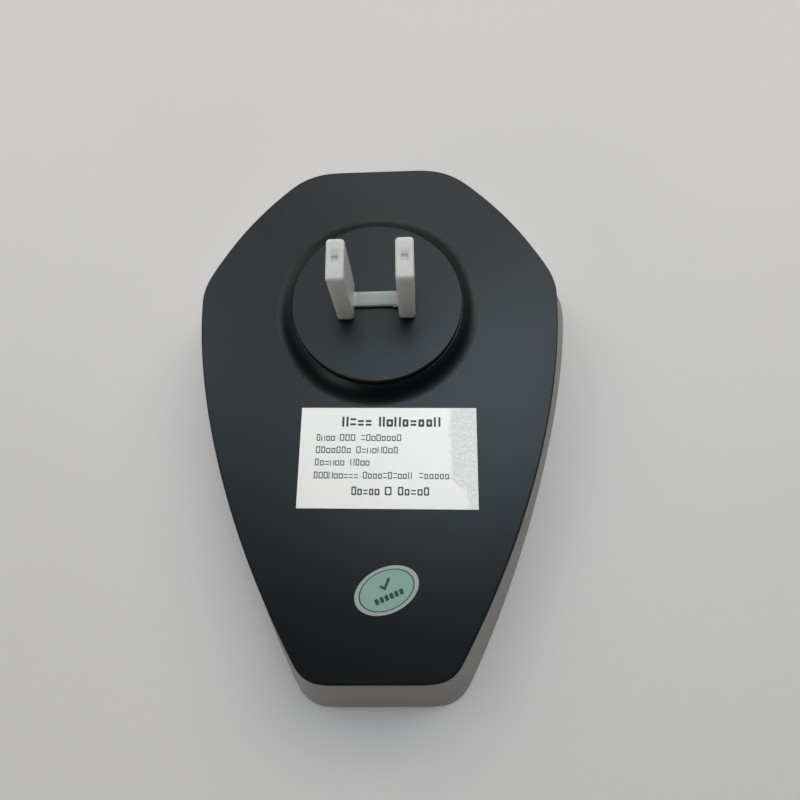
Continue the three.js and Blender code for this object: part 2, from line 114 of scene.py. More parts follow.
def groupTree(name, values, outputs):
    # A group with a Vector input, number inputs with their usual values, and number outputs.
    tree = bpy.data.node_groups.new(name, "ShaderNodeTree")
    tree.interface.new_socket(name="Vector", in_out="INPUT", socket_type="NodeSocketVector")
    for label, value in values.items():
        socket = tree.interface.new_socket(name=label, in_out="INPUT", socket_type="NodeSocketFloat")
        socket.default_value = value
    for label in outputs:
        tree.interface.new_socket(name=label, in_out="OUTPUT", socket_type="NodeSocketFloat")
    return tree, tree.nodes.new("NodeGroupInput"), tree.nodes.new("NodeGroupOutput")


def place(tree, kind, **settings):
    node = tree.nodes.new(kind)
    for key, value in settings.items():
        setattr(node, key, value)
    return node


def wire(tree, source, target):
    tree.links.new(source, target)


def mathNode(tree, operation, a, b=None, clamp=False):
    node = place(tree, "ShaderNodeMath", operation=operation, use_clamp=clamp)
    for socket, value in zip(node.inputs, (a, b)):
        if isinstance(value, bpy.types.NodeSocket):
            wire(tree, value, socket)
        elif value is not None:
            socket.default_value = value
    return node.outputs[0]


def rangeNode(tree, value, low, high, toLow=0.0, toHigh=1.0):
    node = place(tree, "ShaderNodeMapRange")
    for socket, entry in zip(node.inputs[:5], (value, low, high, toLow, toHigh)):
        if isinstance(entry, bpy.types.NodeSocket):
            wire(tree, entry, socket)
        else:
            socket.default_value = entry
    return node.outputs[0]


def noiseNode(tree, vector, scale, detail=2.0, rough=0.5):
    node = place(tree, "ShaderNodeTexNoise")
    wire(tree, vector, node.inputs["Vector"])
    if isinstance(scale, bpy.types.NodeSocket):
        wire(tree, scale, node.inputs["Scale"])
    else:
        node.inputs["Scale"].default_value = scale
    node.inputs["Detail"].default_value = detail
    node.inputs["Roughness"].default_value = rough
    return node.outputs["Fac"]


def mixColor(tree, factor, a, b):
    node = place(tree, "ShaderNodeMix", data_type="RGBA")
    for index, value in ((0, factor), (6, a), (7, b)):  # the node's factor and its two colour sockets
        if isinstance(value, bpy.types.NodeSocket):
            wire(tree, value, node.inputs[index])
        elif index == 0:
            node.inputs[index].default_value = value
        else:
            node.inputs[index].default_value = (*value, 1)
    return node.outputs[2]


def buildMouldGrain():
    # Spark-eroded mould texture: a fine grain, and slow patches where the gloss differs.
    tree, start, end = groupTree("mouldGrain", {"Scale": 2600.0, "PatchScale": 45.0}, ("Height", "Patches"))
    fine = noiseNode(tree, start.outputs["Vector"], start.outputs["Scale"], 2.0, 0.6)
    half = mathNode(tree, "MULTIPLY", start.outputs["Scale"], 0.37)
    coarse = noiseNode(tree, start.outputs["Vector"], half, 1.0, 0.5)
    wire(tree, mathNode(tree, "ADD", fine, mathNode(tree, "MULTIPLY", coarse, 0.5)), end.inputs["Height"])
    patches = noiseNode(tree, start.outputs["Vector"], start.outputs["PatchScale"], 3.0, 0.55)
    wire(tree, rangeNode(tree, patches, 0.3, 0.7), end.inputs["Patches"])
    return tree


def buildEdgeWear():
    # Handling polish on outer edges, broken up so that it isn't an even line.
    tree, start, end = groupTree("edgeWear", {"Amount": 0.5, "Breakup": 900.0}, ("Mask",))
    geometry = place(tree, "ShaderNodeNewGeometry")
    edge = rangeNode(tree, geometry.outputs["Pointiness"], 0.515, 0.56)
    breakup = noiseNode(tree, start.outputs["Vector"], start.outputs["Breakup"], 3.0)
    patch = mathNode(tree, "MULTIPLY", rangeNode(tree, breakup, 0.35, 0.65), start.outputs["Amount"])
    wire(tree, mathNode(tree, "MULTIPLY", edge, patch, True), end.inputs["Mask"])
    return tree


def buildDustSpecks():
    # Loose specks of dust and lint: small cells, of which only a few are kept.
    tree, start, end = groupTree("dustSpecks", {"Scale": 420.0, "Kept": 0.05, "Size": 0.1}, ("Mask",))
    cells = place(tree, "ShaderNodeTexVoronoi")
    wire(tree, start.outputs["Vector"], cells.inputs["Vector"])
    wire(tree, start.outputs["Scale"], cells.inputs["Scale"])
    split = place(tree, "ShaderNodeSeparateColor")
    wire(tree, cells.outputs["Color"], split.inputs[0])
    kept = mathNode(tree, "LESS_THAN", split.outputs[0], start.outputs["Kept"])
    near = mathNode(tree, "LESS_THAN", cells.outputs["Distance"], start.outputs["Size"])
    wire(tree, mathNode(tree, "MULTIPLY", kept, near), end.inputs["Mask"])
    return tree


mouldGrain = buildMouldGrain()
edgeWear = buildEdgeWear()
dustSpecks = buildDustSpecks()


def useGroup(tree, group, vector, **values):
    node = place(tree, "ShaderNodeGroup", node_tree=group)
    wire(tree, vector, node.inputs["Vector"])
    for label, value in values.items():
        node.inputs[label].default_value = value
    return node


# Materials


def startMaterial(name):
    material = bpy.data.materials.new(name)
    material.use_nodes = True
    tree = material.node_tree
    shader = tree.nodes["Principled BSDF"]
    coordinates = place(tree, "ShaderNodeTexCoord").outputs["Object"]
    return material, tree, shader, coordinates


def addBump(tree, shader, height, strength, distance):
    bump = place(tree, "ShaderNodeBump")
    bump.inputs["Strength"].default_value = strength
    bump.inputs["Distance"].default_value = distance * mm
    wire(tree, height, bump.inputs["Height"])
    wire(tree, bump.outputs["Normal"], shader.inputs["Normal"])
    return bump


# What a finish has unless it says otherwise. The bump's depth is in millimetres.
plainLook = {
    "spread": 0.05,  # how far the roughness wanders either way
    "grain": 2600,
    "patch": 45,
    "wear": 0.3,
    "dust": 0.03,
    "speck": 0.09,
    "dustColor": (0.32, 0.31, 0.29),
    "bump": 0.3,
    "depth": 0.03,
    "metal": 0.0,
    "fixed": {},
}


def solidLook(name, look):
    material, tree, shader, coordinates = startMaterial(name)
    look = {**plainLook, "color2": look["color"], **look}
    grain = useGroup(tree, mouldGrain, coordinates, Scale=look["grain"], PatchScale=look["patch"])
    wear = useGroup(tree, edgeWear, coordinates, Amount=look["wear"])
    dust = useGroup(tree, dustSpecks, coordinates, Kept=look["dust"], Size=look["speck"])
    tone = mixColor(tree, grain.outputs["Patches"], look["color"], look["color2"])
    polished = tuple(min(1, c * 1.6 + 0.01) for c in look["color2"])
    worn = mixColor(tree, wear.outputs["Mask"], tone, polished)
    dustAndPaintedShade = mixColor(tree, dust.outputs["Mask"], worn, look["dustColor"])
    if "web" in look:  # painted shade: a greyer band across the thin web in the middle stands in for the dark face showing through it
        half, shade = look["web"]
        split = place(tree, "ShaderNodeSeparateXYZ")
        wire(tree, coordinates, split.inputs[0])
        away = mathNode(tree, "ABSOLUTE", split.outputs["X"])
        dustAndPaintedShade = mixColor(tree, rangeNode(tree, away, (half - 0.3) * mm, half * mm, 1, 0), dustAndPaintedShade, shade)
    wire(tree, dustAndPaintedShade, shader.inputs["Base Color"])
    rough, spread = look["rough"], look["spread"]
    gloss = rangeNode(tree, grain.outputs["Patches"], 0, 1, rough - spread, rough + spread)
    polish = mathNode(tree, "SUBTRACT", gloss, mathNode(tree, "MULTIPLY", wear.outputs["Mask"], 0.12))
    wire(tree, mathNode(tree, "ADD", polish, mathNode(tree, "MULTIPLY", dust.outputs["Mask"], 0.3), True),
         shader.inputs["Roughness"])
    addBump(tree, shader, grain.outputs["Height"], look["bump"], look["depth"])
    shader.inputs["Metallic"].default_value = look["metal"]
    for socket, value in look["fixed"].items():
        shader.inputs[socket].default_value = value
    return material


finishes = {
    "black_plastic": {
        "color": (0.0018, 0.0023, 0.0027), "color2": (0.0022, 0.0028, 0.0032), "rough": 0.36,
        "spread": 0.02, "grain": 2300, "bump": 0.2, "depth": 0.01, "wear": 0.15, "dust": 0.0,
        "fixed": {"Specular IOR Level": 0.365, "Specular Tint": (0.90, 0.965, 1.0, 1)},
    },
    "grey_plastic": {
        "color": (0.258, 0.245, 0.222), "color2": (0.274, 0.260, 0.238), "rough": 0.45, "spread": 0.03,
        "grain": 2800, "bump": 0.15, "depth": 0.015, "wear": 0.2, "dust": 0.01,
        "dustColor": (0.5, 0.5, 0.48),
    },
    "soft_white": {
        "color": (0.74, 0.715, 0.66), "color2": (0.70, 0.68, 0.635), "rough": 0.34, "spread": 0.05,
        "grain": 900, "bump": 0.12, "depth": 0.03, "wear": 0.0, "dust": 0.0,
        "web": (4.5, (0.38, 0.405, 0.395)),  # half length along X of the greyer middle band of painted shade, and its colour
        "fixed": {
            "Subsurface Weight": 0.7, "Subsurface Scale": 0.003,
            "Subsurface Radius": (1.0, 0.9, 0.75),
        },
    },
    "nickel_plate": {
        "color": (0.66, 0.64, 0.60), "color2": (0.60, 0.585, 0.55), "rough": 0.24, "spread": 0.06,
        "grain": 1800, "bump": 0.12, "depth": 0.008, "wear": 0.1, "dust": 0.0, "metal": 1.0,
    },
    "zinc_steel": {
        "color": (0.56, 0.56, 0.55), "color2": (0.5, 0.51, 0.52), "rough": 0.33, "spread": 0.08,
        "grain": 2500, "bump": 0.2, "depth": 0.01, "wear": 0.1, "dust": 0.0, "metal": 1.0,
    },
    "clear_plastic": {
        "color": (0.72, 0.80, 0.88), "rough": 0.12, "spread": 0.03, "grain": 900, "bump": 0.05,
        "wear": 0.0, "dust": 0.0, "fixed": {"Transmission Weight": 0.6, "IOR": 1.49},
    },
    "inner_plastic": {
        "color": (0.02, 0.02, 0.021), "color2": (0.03, 0.03, 0.031), "rough": 0.5, "grain": 2200,
    },
    "foam": {
        "color": (0.012, 0.012, 0.012), "color2": (0.03, 0.03, 0.03), "rough": 0.95, "spread": 0.03,
        "grain": 2000, "bump": 0.9, "depth": 0.25, "wear": 0.0,
    },
    "aluminium_foil": {
        "color": (0.72, 0.73, 0.74), "color2": (0.62, 0.63, 0.65), "rough": 0.28, "spread": 0.08,
        "grain": 500, "bump": 0.25, "depth": 0.05, "metal": 1.0, "wear": 0.0,
    },
    "brass_plate": {
        "color": (0.66, 0.50, 0.24), "color2": (0.55, 0.40, 0.18), "rough": 0.3, "spread": 0.1,
        "grain": 1500, "bump": 0.15, "depth": 0.01, "metal": 1.0, "wear": 0.1,
    },
    "yellow_case": {
        "color": (0.62, 0.42, 0.06), "color2": (0.68, 0.47, 0.08), "rough": 0.35, "grain": 1500,
    },
    "chip_case": {
        "color": (0.015, 0.015, 0.016), "color2": (0.022, 0.022, 0.023), "rough": 0.5, "grain": 3000,
    },
    "blue_coating": {
        "color": (0.02, 0.09, 0.32), "color2": (0.03, 0.12, 0.38), "rough": 0.32, "grain": 600,
        "bump": 0.3, "depth": 0.08,
    },
    "green_coating": {
        "color": (0.08, 0.22, 0.10), "color2": (0.10, 0.27, 0.13), "rough": 0.45, "grain": 900,
        "bump": 0.3, "depth": 0.06,
    },
    "tan_coating": {
        "color": (0.52, 0.38, 0.2), "color2": (0.6, 0.45, 0.25), "rough": 0.4, "grain": 900,
        "bump": 0.3, "depth": 0.05,
    },
    "capacitor_can": {
        "color": (0.5, 0.52, 0.54), "color2": (0.58, 0.6, 0.62), "rough": 0.28, "spread": 0.07,
        "grain": 1500, "metal": 1.0, "bump": 0.1, "depth": 0.01,
    },
    "ferrite": {
        "color": (0.035, 0.035, 0.038), "color2": (0.05, 0.05, 0.053), "rough": 0.7, "grain": 2400,
        "bump": 0.5, "depth": 0.05,
    },
    "brown_insulation": {"color": (0.1, 0.045, 0.025), "rough": 0.45, "grain": 1200, "wear": 0.0},
    "blue_insulation": {"color": (0.025, 0.07, 0.27), "rough": 0.45, "grain": 1200, "wear": 0.0},
    "red_insulation": {"color": (0.36, 0.025, 0.02), "rough": 0.45, "grain": 1200, "wear": 0.0},
    "black_insulation": {"color": (0.015, 0.015, 0.015), "rough": 0.45, "grain": 1200, "wear": 0.0},
}
looks = {name: solidLook(name, look) for name, look in finishes.items()}
print("stage: materials")


# Mesh helpers


def bridged(rings, loop=False, capStart=False, capEnd=False):
    count = len(rings[0])
    vertices = [point for ring in rings for point in ring]
    faces = []
    for r in range(len(rings) if loop else len(rings) - 1):
        a, b = r * count, (r + 1) % len(rings) * count
        for i in range(count):
            j = (i + 1) % count
            faces.append((a + i, a + j, b + j, b + i))
    if capStart:
        faces.append(tuple(reversed(range(count))))
    if capEnd:
        faces.append(tuple(range(len(vertices) - count, len(vertices))))
    return vertices, faces


def meshObject(name, vertices, faces):
    mesh = bpy.data.meshes.new(name)
    mesh.from_pydata([Vector(v) * mm for v in vertices], [], faces)
    shape = bmesh.new()
    shape.from_mesh(mesh)
    bmesh.ops.remove_doubles(shape, verts=shape.verts, dist=1e-7)
    bmesh.ops.recalc_face_normals(shape, faces=shape.faces)
    shape.to_mesh(mesh)
    shape.free()
    piece = bpy.data.objects.new(name, mesh)
    bpy.context.scene.collection.objects.link(piece)
    return piece


def applied(piece):
    graph = bpy.context.evaluated_depsgraph_get()
    mesh = bpy.data.meshes.new_from_object(piece.evaluated_get(graph))
    piece.modifiers.clear()
    piece.data = mesh
    return piece


def carved(piece, tools, operation="DIFFERENCE"):
    # Joins or cuts with each tool, then throws the tools away.
    for tool in tools:
        step = piece.modifiers.new("carve", "BOOLEAN")
        step.operation = operation
        step.solver = "EXACT"
        step.object = tool
    applied(piece)
    for tool in tools:
        bpy.data.objects.remove(tool)
    return piece


def smoothed(piece, angle=32):
    piece.data.shade_smooth()
    piece.data.set_sharp_from_angle(angle=math.radians(angle))
    return piece


def circleRing(radius, z, count=96, center=(0, 0), angles=None):
    turns = angles or [2 * math.pi * i / count for i in range(count)]
    return [(center[0] + radius * math.cos(a), center[1] + radius * math.sin(a), z) for a in turns]


def turned(name, profile, count=96, center=(0, 0)):
    # Turns (radius, height) points about an upright axis; the ends close on the axis.
    rings = [circleRing(max(r, 1e-4), z, count, center) for r, z in profile]
    vertices, faces = bridged(rings, capStart=True, capEnd=True)
    return meshObject(name, vertices, faces)


def peg(radius, low, high, center=(0, 0), count=32):
    return turned("peg", [(radius, low), (radius, high)], count, center)


def bar(size, center):
    sx, sy, sz = (s / 2 for s in size)
    ring = [(-sx, -sy), (sx, -sy), (sx, sy), (-sx, sy)]
    rings = [[(x + center[0], y + center[1], center[2] + z) for x, y in ring] for z in (-sz, sz)]
    vertices, faces = bridged(rings, capStart=True, capEnd=True)
    return meshObject("bar", vertices, faces)


def roundedRing(width, length, radius, z, center=(0, 0), steps=6):
    # A rectangle with round corners, always with the same number of points.
    ring = []
    radius = min(radius, width / 2 - 1e-3, length / 2 - 1e-3)
    for corner, (sx, sy) in enumerate(((1, -1), (1, 1), (-1, 1), (-1, -1))):
        for step in range(steps + 1):
            a = math.radians((corner - 1) * 90 + 90 * step / steps)
            x = sx * (width / 2 - radius) + radius * math.cos(a)
            y = sy * (length / 2 - radius) + radius * math.sin(a)
            ring.append((center[0] + x, center[1] + y, z))
    return ring


def quarter(radius, steps=5):
    # (inward, upward) offsets round a quarter circle, from the side to the top.
    turns = [math.pi / 2 * i / steps for i in range(steps + 1)]
    return [(radius * (1 - math.cos(a)), radius * math.sin(a)) for a in turns]


def beveled(piece, width, segments=2):
    step = piece.modifiers.new("edges", "BEVEL")
    step.width = width * mm
    step.segments = segments
    step.limit_method = "ANGLE"
    step.angle_limit = math.radians(40)
    return applied(piece)


def dressed(piece, slot, body, nodes, material=None):
    piece.data.materials.clear()
    piece.data.materials.append(material or looks[slot])
    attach(piece, body)
    if nodes:
        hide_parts(*nodes)
    return piece


# The housing's outline

outline = {
    "start": (7.4, -54.28),
    "curves": (  # the right half from the narrow end up, as two handles and an end a curve
        ((11.4, -54.28), (13.6, -53.8), (15.4, -50.85)),
        ((34.5, -18.65), (38.3, 9.7), (38.3, 22.5)),
        ((38.3, 25.2), (37.3, 27.7), (35.8, 30.3)),
        ((32.8, 35.6), (28.6, 42.5), (20.1, 50.2)),
        ((15.6, 54.28), (11.0, 54.28), (8.0, 54.28)),
    ),
    "points": 320,
    "cornerShare": 16.0,  # how strongly points gather at the corners
    "waist": (-50.0, 21.5),  # between these the flaring wall stands out less
}


def bezier(a, b, c, d, t):
    s = 1 - t
    return a * s**3 + b * 3 * s * s * t + c * 3 * s * t * t + d * t**3


def outlinePoints():
    right = []
    start = Vector(outline["start"])
    for handles in outline["curves"]:
        b, c, d = (Vector(p) for p in handles)
        right += [bezier(start, b, c, d, i / 160) for i in range(160)]
        start = d
    right.append(start)
    for a, b in ((right[0], -1), (right[-1], 1)):
        flat = [Vector((a.x * k / 40, a.y)) for k in range(1, 40)]
        right = flat + right if b < 0 else right + flat[::-1]
    dense = right + [Vector((-p.x, p.y)) for p in reversed(right)]
    weights = [0.0]
    for i, point in enumerate(dense):
        after = dense[(i + 1) % len(dense)]
        last = point - dense[i - 1]
        step = after - point
        bend = abs(last.angle(step, 0)) if last.length > 1e-6 and step.length > 1e-6 else 0
        weights.append(weights[-1] + step.length + outline["cornerShare"] * bend)
    points, i = [], 0
    for k in range(outline["points"]):
        goal = weights[-1] * k / outline["points"]
        while weights[i + 1] <= goal:
            i += 1
        share = (goal - weights[i]) / (weights[i + 1] - weights[i])
        points.append(dense[i].lerp(dense[(i + 1) % len(dense)], share))
    return points


rim = outlinePoints()
rimNormals = []
for i, point in enumerate(rim):
    along = (rim[(i + 1) % len(rim)] - rim[i - 1]).normalized()
    rimNormals.append(Vector((along.y, -along.x)))


def housingRing(z, wider=0.0, longer=0.0, inset=0.0, waist=0.0):
    sx, sy = 1 + wider / halfWidth, 1 + longer / halfLength
    low, high = outline["waist"]
    ring = []
    for point, normal in zip(rim, rimNormals):
        out = Vector((normal.x / sx, normal.y / sy)).normalized()
        along = min(max((point.y - low) / (high - low), 0), 1)
        less = math.copysign(waist * math.sin(math.pi * along), point.x)
        ring.append((point.x * sx - less - out.x * inset, point.y * sy - out.y * inset, z))
    return ring


# Rear cover

rearCover = {
    "thick": 1.8,
    "edge": 0.35,
    "bossFoot": 22.0,
    "bossTop": 17.6,
    "bossAngles": (5, 57),
    "bossSteps": 14,
    "bore": 15.8,
    "skirtInset": (2.3, 3.5),
    "hooks": 8,
    "hook": (1.4, 4.0, 1.2),
    "skirtFoot": coverLow.z,
}


def bossProfile():
    low, high = (math.radians(a) for a in rearCover["bossAngles"])
    foot, top = rearCover["bossFoot"], rearCover["bossTop"]
    radius = (foot - top) / (math.sin(high) - math.sin(low))
    points = []
    for i in range(rearCover["bossSteps"] + 1):
        a = low + (high - low) * i / rearCover["bossSteps"]
        z = plateZ + radius * (math.cos(low) - math.cos(a))
        points.append((foot - radius * (math.sin(a) - math.sin(low)), min(z, coverHigh.z)))
    return points


def buildRearCover():
    angles = [math.atan2(p.y - plugY, p.x) for p in rim]

    def ringAt(radius, z):
        return circleRing(radius, z, center=(0, plugY), angles=angles)

    def between(outer, inner, share):
        return [tuple(a + (b - a) * share for a, b in zip(p, q)) for p, q in zip(outer, inner)]

    under = plateZ - rearCover["thick"]
    edge = rearCover["edge"]
    rings = [housingRing(under, inset=0.2), housingRing(under + 0.12, inset=0.05), housingRing(under + 0.3)]
    rings += [housingRing(plateZ - edge + up, inset=inward) for inward, up in quarter(edge, 6)]
    rings.append(housingRing(plateZ, inset=edge + 0.12))
    bossRing = ringAt(rearCover["bossFoot"] + 0.12, plateZ)
    rings += [between(rings[-1], bossRing, share) for share in (0.25, 0.5, 0.75)]
    rings.append(bossRing)
    rings += [ringAt(r, z) for r, z in bossProfile()]
    bore = rearCover["bore"]
    rings += [ringAt(bore + 0.2, coverHigh.z), ringAt(bore, coverHigh.z - 0.2), ringAt(bore, under)]
    outer, inner = rearCover["skirtInset"]
    foot = rearCover["skirtFoot"]
    skirt = ((under, inner), (foot, inner), (foot, outer), (under, outer))
    rings += [housingRing(z, inset=inset) for z, inset in skirt]
    piece = meshObject("rearCover", *bridged(rings, loop=True))
    hooks = []
    for k in range(rearCover["hooks"]):
        i = round((k + 0.5) / rearCover["hooks"] * len(rim)) % len(rim)
        hook = bar(rearCover["hook"], (0, 0, 0))
        normal = rimNormals[i]
        spot = rim[i] - normal * (outer + 0.2)
        middle = Vector((spot.x, spot.y, foot + rearCover["hook"][2] / 2)) * mm
        turn = Matrix.Rotation(math.atan2(normal.y, normal.x), 4, "Z")
        hook.data.transform(Matrix.Translation(middle) @ turn)
        hooks.append(hook)
    carved(piece, hooks, "UNION")
    return dressed(smoothed(piece), "black_plastic", "housing", ["rear_cover"])


buildRearCover()
print("stage: rear cover")


# Front shell

frontShell = {
    "seam": shellHigh.z,
    "rimZ": 1.0,
    "rimWider": shellHigh.x - halfWidth,
    "rimLonger": shellHigh.y - halfLength,
    "waist": 1.25,
    "wall": 2.0,
    "floor": 2.4,
    "edge": 1.0,
    "recess": (9.0, 0.6),  # how far in it starts, and how deep it is
    "middle": (-22, -31),  # how much narrower and shorter the ring is that closes the face
    "boardPost": (2.7, 5.4),  # radius and top
    "speakerPost": (2.3, 4.7),
    "slotPitch": 4.3,
    "slotHalf": 1.0,
    "slotReach": 15.5,
    "window": 3.2,
    "postHole": 1.3,
}


def wallRing(z, inset=0.0, smaller=0.0):
    # An even inset for the edges, and a smaller copy of the outline further in.
    flare = (frontShell["seam"] - z) / (frontShell["seam"] - frontShell["rimZ"])
    wider, longer, waist = (frontShell[key] * flare for key in ("rimWider", "rimLonger", "waist"))
    return housingRing(z, wider - smaller, longer - smaller, inset, waist)


def slotCutter(y, halfLong):
    # A slot with softened ends and a wider mouth on the outside.
    half, depth = frontShell["slotHalf"], frontShell["recess"][1]
    levels = ((-1, 0.3), (depth - 0.02, 0.3), (depth + 0.28, 0), (frontShell["floor"] + 1, 0))
    rings = []
    for z, grow in levels:
        end = half + grow
        rings.append(roundedRing(2 * (halfLong + grow), 2 * end, end, z, (0, y), 8))
    return meshObject("slot", *bridged(rings, capStart=True, capEnd=True))


def buildFrontShell():
    seam, floor, wall = frontShell["seam"], frontShell["floor"], frontShell["wall"]
    edge, (recessIn, recessZ) = frontShell["edge"], frontShell["recess"]
    rings = [housingRing(floor, *frontShell["middle"])]
    for up, more in ((0, 1.3), (0.15, 0.6), (0.5, 0.15), (1.1, 0)):
        rings.append(wallRing(floor + up, wall + more))
    rings += [wallRing(seam - 0.2, wall), wallRing(seam, wall - 0.2)]
    rings += [wallRing(seam, 0.25), wallRing(seam - 0.1, 0.06), wallRing(seam - 0.3)]
    rings += [wallRing(seam + (edge - seam) * k / 8) for k in range(1, 9)]
    rings += [wallRing(edge - up, inward) for inward, up in quarter(edge, 6)]
    rings += [wallRing(0, edge + 0.15), wallRing(0, 0, recessIn - 0.35), wallRing(0.08, 0, recessIn - 0.1)]
    rings += [wallRing(recessZ - 0.1, 0, recessIn + 0.1), wallRing(recessZ, 0, recessIn + 0.3)]
    rings.append(housingRing(recessZ, *frontShell["middle"]))
    piece = meshObject("frontShell", *bridged(rings, capStart=True, capEnd=True))
    speakerLow, speakerHigh = boxOf("speaker_frame")
    center = ((speakerLow.x + speakerHigh.x) / 2, (speakerLow.y + speakerHigh.y) / 2)
    cuts = []
    for row in range(-3, 4):
        off = row * frontShell["slotPitch"]
        cuts.append(slotCutter(center[1] + off, math.sqrt(frontShell["slotReach"] ** 2 - off**2)))
    windowLow, windowHigh = boxOf("light_window")
    cuts.append(peg(frontShell["window"], -1, floor + 1, (0, (windowLow.y + windowHigh.y) / 2), 48))
    adds, holes = [], []
    for node in frame["nodes"]:
        if node.startswith(("board_screw", "speaker_screw")):
            low, high = boxOf(node)
            spot = ((low.x + high.x) / 2, (low.y + high.y) / 2)
            radius, top = frontShell["boardPost" if node.startswith("board") else "speakerPost"]
            adds.append(peg(radius, floor - 0.4, top, spot))
            holes.append(peg(frontShell["postHole"], floor + 0.05, 9, spot, 20))
    carved(piece, adds, "UNION")
    carved(piece, cuts + holes)
    return dressed(smoothed(piece), "grey_plastic", "housing", ["front_shell"])


buildFrontShell()
print("stage: front shell")


# Plug insert and blades

plug = {
    "flange": 1.2,
    "edge": 0.28,
    "collar": 15.5,
    "hollow": 13.8,
    "roof": 3.0,
    "slot": (2.1, 6.95),
    "clampBoss": (2.8, 1.4),  # radius, and its screw hole's
    "bladeThick": 1.5,
    "bladeWide": 6.35,
    "bladeEdge": 0.16,
    "nose": 1.6,  # radius of the tip's corners
    "shoulder": (2.0, 4.4, 16.0),  # half width of the tail and of the shoulder, and its height
    "eye": (11.7, 1.6),  # height above the disc, radius
}


def buildPlugInsert():
    radius = insertHigh.x
    foot = insertLow.z
    flangeZ = discZ - plug["flange"]
    roof = discZ - plug["roof"]
    collar, hollow, edge = plug["collar"], plug["hollow"], plug["edge"]
    profile = [(0, roof), (hollow - 0.4, roof), (hollow, roof - 0.4), (hollow, foot), (collar, foot),
               (collar, flangeZ), (radius - 0.12, flangeZ), (radius, flangeZ + 0.12)]
    profile += [(radius - inward, discZ - edge + up) for inward, up in quarter(edge, 5)]
    profile += [(radius - edge - 0.12, discZ), (radius * 0.5, discZ), (0, discZ)]
    piece = turned("plugInsert", profile, 192, (0, plugY))
    screwSpots = [boxOf(node) for node in ("clamp_screw_1", "clamp_screw_2")]
    spots = [((a.x + b.x) / 2, (a.y + b.y) / 2) for a, b in screwSpots]
    boss, hole = plug["clampBoss"]
    carved(piece, [peg(boss, foot + 3.1, roof + 0.2, spot) for spot in spots], "UNION")
    wide, long = plug["slot"]
    cuts = [bar((wide, long, 20), (side * bladeX, plugY, discZ)) for side in (-1, 1)]
    cuts += [peg(hole, foot, roof + 0.5, spot, 20) for spot in spots]
    carved(piece, cuts)
    return dressed(smoothed(piece), "black_plastic", "housing", ["plug_insert"])


def buildBlade(node):
    low, high = boxOf(node)
    x = (low.x + high.x) / 2
    half = plug["bladeWide"] / 2
    top = high.z
    nose = plug["nose"]
    tail, wide, under = plug["shoulder"]
    above = discZ - plug["roof"] - 0.3
    shoulder = [(tail, low.z), (tail, under), (wide, under), (wide, above), (half, above)]
    tip = [(half - inward, top - nose + up) for inward, up in quarter(nose, 6)]
    side = shoulder + tip
    ring = [(x, plugY + y, z) for y, z in side] + [(x, plugY - y, z) for y, z in reversed(side)]
    thick = plug["bladeThick"] / 2
    rings = [[(px + off, y, z) for px, y, z in ring] for off in (-thick, thick)]
    piece = meshObject(node.replace("_", "") + "Plated", *bridged(rings, capStart=True, capEnd=True))
    height, radius = plug["eye"]
    eye = turned("eye", [(radius, -4), (radius, 4)], 40)
    turn = Matrix.Rotation(math.pi / 2, 4, "Y")
    eye.data.transform(Matrix.Translation(Vector((x, plugY, discZ + height)) * mm) @ turn)
    carved(piece, [eye])
    beveled(piece, plug["bladeEdge"])
    return dressed(smoothed(piece, 25), "nickel_plate", "housing", [node])


buildPlugInsert()
for node in ("blade_left", "blade_right"):
    buildBlade(node)
print("stage: plug")


# Blade cover

bladeCover = {
    "thick": 3.42,
    "wide": 8.5,
    "corner": 0.7,
    "tipRound": 0.55,
    "footRound": 0.3,
    "bore": (2.1, 6.95),
    "roof": 0.9,
    "dimple": (1.3, 1.25, 0.42),  # across, along and deep
    "bridgeWide": 3.2,
    "bridgeThick": 0.9,
    "gate": (0.9, 0.35, 0.4),  # the moulding gate's nib on the bridge's edge
}


def sleeveMesh(side, low, high):
    c = bladeCover
    spot = (side * bladeX, plugY)

    def outer(z, inset):
        corner = max(c["corner"] - inset, 0.15)
        return roundedRing(c["thick"] - 2 * inset, c["wide"] - 2 * inset, corner, z, spot)

    def inner(z, size, radius=0.2):
        return roundedRing(size[0], size[1], radius, z, spot)

    foot, tip = quarter(c["footRound"], 3), quarter(c["tipRound"], 6)
    rings = [outer(low + c["footRound"] - up, inward) for inward, up in reversed(foot)]
    rings += [outer(low + (high - low) * k / 10, 0) for k in range(1, 10)]
    rings += [outer(high - c["tipRound"] + up, inward) for inward, up in tip]
    hx, hy, deep = c["dimple"]
    for down, wider, radius in ((0, 0.3, 0.4), (0.12, 0, 0.3), (deep - 0.12, -0.1, 0.3), (deep, -0.4, 0.2)):
        rings.append(inner(high - down, (hx + wider, hy + wider), radius))
    sleeve = meshObject("sleeve", *bridged(rings, capStart=True, capEnd=True))
    mouth = (c["bore"][0] + 0.3, c["bore"][1] + 0.3)
    bore = [inner(low - 1, mouth), inner(low, mouth), inner(low + 0.3, c["bore"])]
    bore.append(inner(high - c["roof"], c["bore"]))
    return carved(sleeve, [meshObject("bore", *bridged(bore, capStart=True, capEnd=True))])


def buildBladeCover():
    low, high = boxOf("prong_cover")
    piece = sleeveMesh(-1, low.z, high.z)
    reach = bladeX - bladeCover["thick"] / 2 + 0.35
    z = low.z + 0.1 + bladeCover["bridgeThick"] / 2
    strip = bar((2 * reach, bladeCover["bridgeWide"], bladeCover["bridgeThick"]), (0, plugY, z))
    beveled(strip, 0.18, 2)
    nib = bar(bladeCover["gate"], (reach - 1.1, plugY - bladeCover["bridgeWide"] / 2 - 0.1, z))
    carved(piece, [sleeveMesh(1, low.z, high.z), strip, nib], "UNION")
    piece.name = "bladeCover"
    return dressed(smoothed(piece, 40), "soft_white", "blade_cover", ["prong_cover"])


buildBladeCover()
print("stage: blade cover")


# Rating label and sticker

